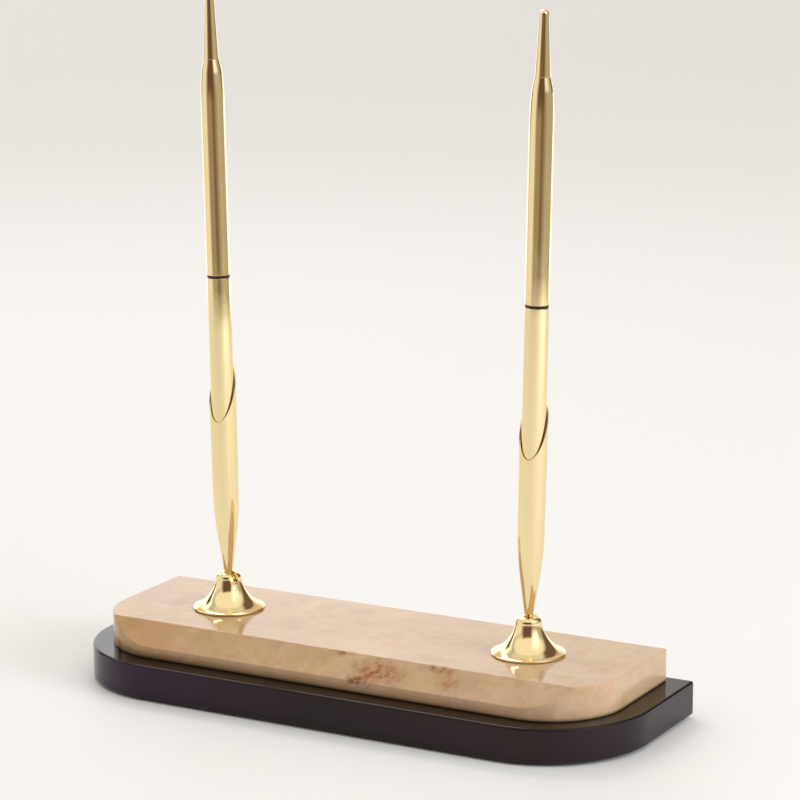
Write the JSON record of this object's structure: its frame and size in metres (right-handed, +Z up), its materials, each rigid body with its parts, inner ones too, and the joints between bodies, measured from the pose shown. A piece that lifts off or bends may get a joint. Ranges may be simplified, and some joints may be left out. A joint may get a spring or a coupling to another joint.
{
  "type": "desk pen stand",
  "caption": "Desk pen stand: polished stone slab on a dark glossy plinth, with gilt swivel bells whose tilting funnels hold slim twist pens.",
  "frame": {"origin": "middle of the felt's underside, on the desk, in the middle of the plinth's length and depth", "axes": "+Z up, +X along the stand to the right as seen from its front, +Y to its back; the slab's facet faces -Y"},
  "size_m": [0.206, 0.0724, 0.2328],
  "materials": {
    "gold_plate": "polished gold plate on brass",
    "stone": "polished beige onyx marble",
    "dark_acrylic": "polished dark acrylic",
    "felt": "dark green felt",
    "black_ring": "black moulded ring",
    "steel": "zinc plated steel",
    "raw_brass": "turned brass",
    "nylon": "natural nylon"
  },
  "bodies": {
    "base": {"felt_pad": "felt", "plinth": "dark_acrylic", "stone_slab": "stone", "flat_washers": "steel", "spring_washers": "steel"},
    "left_swivel": {"left_bell": "gold_plate", "left_bell_bush": "raw_brass", "left_seat_spring": "steel", "left_ball_seat": "nylon", "left_mounting_screw": "steel"},
    "left_sheath": {"left_funnel": "gold_plate", "left_ball": "gold_plate"},
    "left_pen": {"left_pen_lower_barrel": "gold_plate", "left_pen_nose_cone": "gold_plate", "left_pen_centre_ring": "black_ring", "left_pen_guide_sleeve": "raw_brass"},
    "left_pen_top": {"left_pen_upper_barrel": "gold_plate", "left_pen_tail": "gold_plate", "left_pen_cam_sleeve": "raw_brass"},
    "left_refill": {"left_refill_tube": "raw_brass", "left_refill_point": "steel", "left_refill_holder": "nylon"},
    "right_swivel": {"right_bell": "gold_plate", "right_bell_bush": "raw_brass", "right_seat_spring": "steel", "right_ball_seat": "nylon", "right_mounting_screw": "steel"},
    "right_sheath": {"right_funnel": "gold_plate", "right_ball": "gold_plate"},
    "right_pen": {"right_pen_lower_barrel": "gold_plate", "right_pen_nose_cone": "gold_plate", "right_pen_centre_ring": "black_ring", "right_pen_guide_sleeve": "raw_brass"},
    "right_pen_top": {"right_pen_upper_barrel": "gold_plate", "right_pen_tail": "gold_plate", "right_pen_cam_sleeve": "raw_brass"},
    "right_refill": {"right_refill_tube": "raw_brass", "right_refill_point": "steel", "right_refill_holder": "nylon"}
  },
  "joints": [
    {"name": "left_bell_swivel", "type": "hinge", "parent": "base", "child": "left_swivel", "pos_m": [-0.0575, 0.0055, 0.0235], "axis": [0, 0, 1], "continuous": true},
    {"name": "left_funnel_tilt", "type": "hinge", "parent": "left_swivel", "child": "left_sheath", "pos_m": [-0.0575, 0.0055, 0.0323], "axis": [0.5736, 0.8192, 0], "range_deg": [0, 65]},
    {"name": "left_pen_lift", "type": "slide", "parent": "left_sheath", "child": "left_pen", "axis": [-0.0209, 0, 0.9998], "range_m": [0, 0.08]},
    {"name": "left_pen_twist", "type": "hinge", "parent": "left_pen", "child": "left_pen_top", "pos_m": [-0.0575, 0.0055, 0.0323], "axis": [-0.0209, 0, 0.9998], "range_deg": [0, 180]},
    {"name": "left_refill_advance", "type": "slide", "parent": "left_pen", "child": "left_refill", "axis": [0.0209, 0, -0.9998], "range_m": [0, 0.0035]},
    {"name": "right_bell_swivel", "type": "hinge", "parent": "base", "child": "right_swivel", "pos_m": [0.0575, 0.0055, 0.0235], "axis": [0, 0, 1], "continuous": true},
    {"name": "right_funnel_tilt", "type": "hinge", "parent": "right_swivel", "child": "right_sheath", "pos_m": [0.0575, 0.0055, 0.0323], "axis": [-0.7071, 0.7071, 0], "range_deg": [0, 65]},
    {"name": "right_pen_lift", "type": "slide", "parent": "right_sheath", "child": "right_pen", "axis": [0.0209, 0, 0.9998], "range_m": [0, 0.08]},
    {"name": "right_pen_twist", "type": "hinge", "parent": "right_pen", "child": "right_pen_top", "pos_m": [0.0575, 0.0055, 0.0323], "axis": [0.0209, 0, 0.9998], "range_deg": [0, 180]},
    {"name": "right_refill_advance", "type": "slide", "parent": "right_pen", "child": "right_refill", "axis": [-0.0209, 0, -0.9998], "range_m": [0, 0.0035]}
  ],
  "couplings": [
    {"joint": "left_pen_twist", "follows": "left_refill_advance", "rad_per_m": 897.59},
    {"joint": "right_pen_twist", "follows": "right_refill_advance", "rad_per_m": 897.59}
  ]
}
